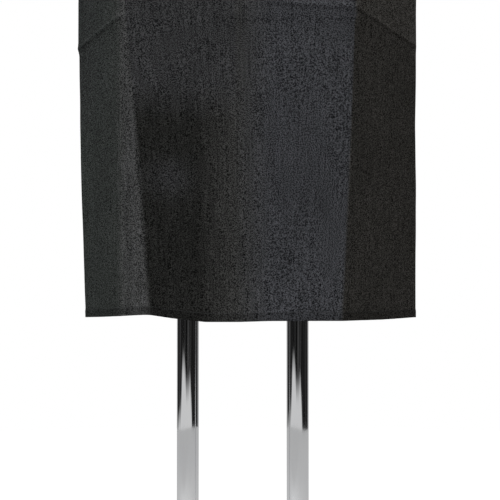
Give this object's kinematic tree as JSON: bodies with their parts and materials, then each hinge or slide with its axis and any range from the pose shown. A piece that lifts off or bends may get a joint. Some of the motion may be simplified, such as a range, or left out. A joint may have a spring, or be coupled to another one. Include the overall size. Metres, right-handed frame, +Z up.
{
  "type": "outdoor heater",
  "caption": "Free-standing gas patio heater: half-round head under a fabric cover, twin chrome posts, round tank housing with a door, angular base with tilt wheels.",
  "frame": {"origin": "on the floor, midway between the two posts", "axes": "+Z up, -Y the side that throws heat and has the door, +X to the right seen from that side"},
  "size_m": [0.828, 0.54, 2.2163],
  "materials": {
    "black_steel": "black powder coat, satin",
    "chrome": "polished chrome plate",
    "zinc_steel": "zinc-plated steel",
    "stainless": "bright stainless sheet",
    "heat_steel": "stainless steel darkened by heat",
    "polished_aluminium": "polished aluminium sheet",
    "brass": "machined brass",
    "grey_cast": "die-cast, matt",
    "grey_paint": "grey enamel",
    "black_plastic": "moulded, fine texture",
    "red_plastic": "moulded",
    "white_ceramic": "glazed",
    "rubber": "matt rubber",
    "tyre": "ribbed rubber",
    "cover_fabric": "charcoal woven polyester, hemmed"
  },
  "bodies": {
    "heater": {"axle_caps": "chrome", "back_reflector": "polished_aluminium", "ballast_plate": "black_steel", "base_feet": "rubber", "base_pan": "black_steel", "burner": "heat_steel", "burner_deck": "stainless", "burner_jet": "brass", "burner_pipe": "polished_aluminium", "control_box": "black_steel", "control_panel": "stainless", "coupling_nut": "black_plastic", "cylinder_valve": "brass", "door_catch": "zinc_steel", "door_hinges": "black_steel", "emitter_cap": "stainless", "emitter_screen": "heat_steel", "frame_bolts": "zinc_steel", "frame_legs": "zinc_steel", "gas_cylinder": "grey_paint", "gas_hose": "rubber", "gas_regulator": "grey_cast", "gas_valve": "grey_cast", "head_bolts": "zinc_steel", "head_bracket": "black_steel", "hinge_pins": "zinc_steel", "hood": "polished_aluminium", "hood_liner": "polished_aluminium", "hood_nuts": "chrome", "hood_studs": "zinc_steel", "housing_lid": "black_steel", "igniter_lead": "white_ceramic", "piezo_igniter": "black_plastic", "pilot_burner": "heat_steel", "pilot_pipe": "polished_aluminium", "post_bracket": "zinc_steel", "post_collars": "chrome", "post_left": "chrome", "post_right": "chrome", "post_screws": "zinc_steel", "reflector_stay": "zinc_steel", "sheet_screws": "zinc_steel", "stud_sleeves": "zinc_steel", "tank_housing": "black_steel", "thermocouple": "brass", "tilt_switch": "black_plastic", "wheel_axle": "zinc_steel", "wheel_brackets": "black_steel", "wire_guard": "chrome"},
    "cover": {"head_cover": "cover_fabric"},
    "door": {"tank_door": "black_steel", "door_handle": "chrome"},
    "wheel_left": {"wheel_hub_left": "black_plastic", "wheel_tyre_left": "tyre"},
    "wheel_right": {"wheel_hub_right": "black_plastic", "wheel_tyre_right": "tyre"},
    "valve_stem": {"valve_stem": "brass"},
    "knob": {"control_knob": "black_plastic"},
    "button": {"igniter_button": "red_plastic"},
    "handwheel": {"cylinder_handwheel": "black_plastic"}
  },
  "joints": [
    {"name": "cover_lift", "type": "slide", "parent": "heater", "child": "cover", "axis": [0, 0, 1], "range_m": [0, 0.9]},
    {"name": "door_swing", "type": "hinge", "parent": "heater", "child": "door", "pos_m": [-0.17493, -0.13423, 0.378], "axis": [0, 0, -1], "range_deg": [0, 110]},
    {"name": "wheel_left_spin", "type": "hinge", "parent": "heater", "child": "wheel_left", "pos_m": [-0.217, 0.224, 0.048], "axis": [1, 0, 0], "continuous": true},
    {"name": "wheel_right_spin", "type": "hinge", "parent": "heater", "child": "wheel_right", "pos_m": [0.217, 0.224, 0.048], "axis": [1, 0, 0], "continuous": true},
    {"name": "knob_push", "type": "slide", "parent": "heater", "child": "valve_stem", "axis": [0, 1, 0], "range_m": [0, 0.004], "stiffness_N_per_m": 500, "springref_m": -0.002},
    {"name": "knob_turn", "type": "hinge", "parent": "valve_stem", "child": "knob", "pos_m": [-0.02, -0.135, 1.5424], "axis": [0, -1, 0], "range_deg": [0, 180]},
    {"name": "igniter_push", "type": "slide", "parent": "heater", "child": "button", "axis": [0, 1, 0], "range_m": [0, 0.006], "stiffness_N_per_m": 800, "springref_m": -0.002},
    {"name": "cylinder_valve_turn", "type": "hinge", "parent": "heater", "child": "handwheel", "pos_m": [0, 0, 0.488], "axis": [0, 0, 1], "range_deg": [0, 540]}
  ]
}
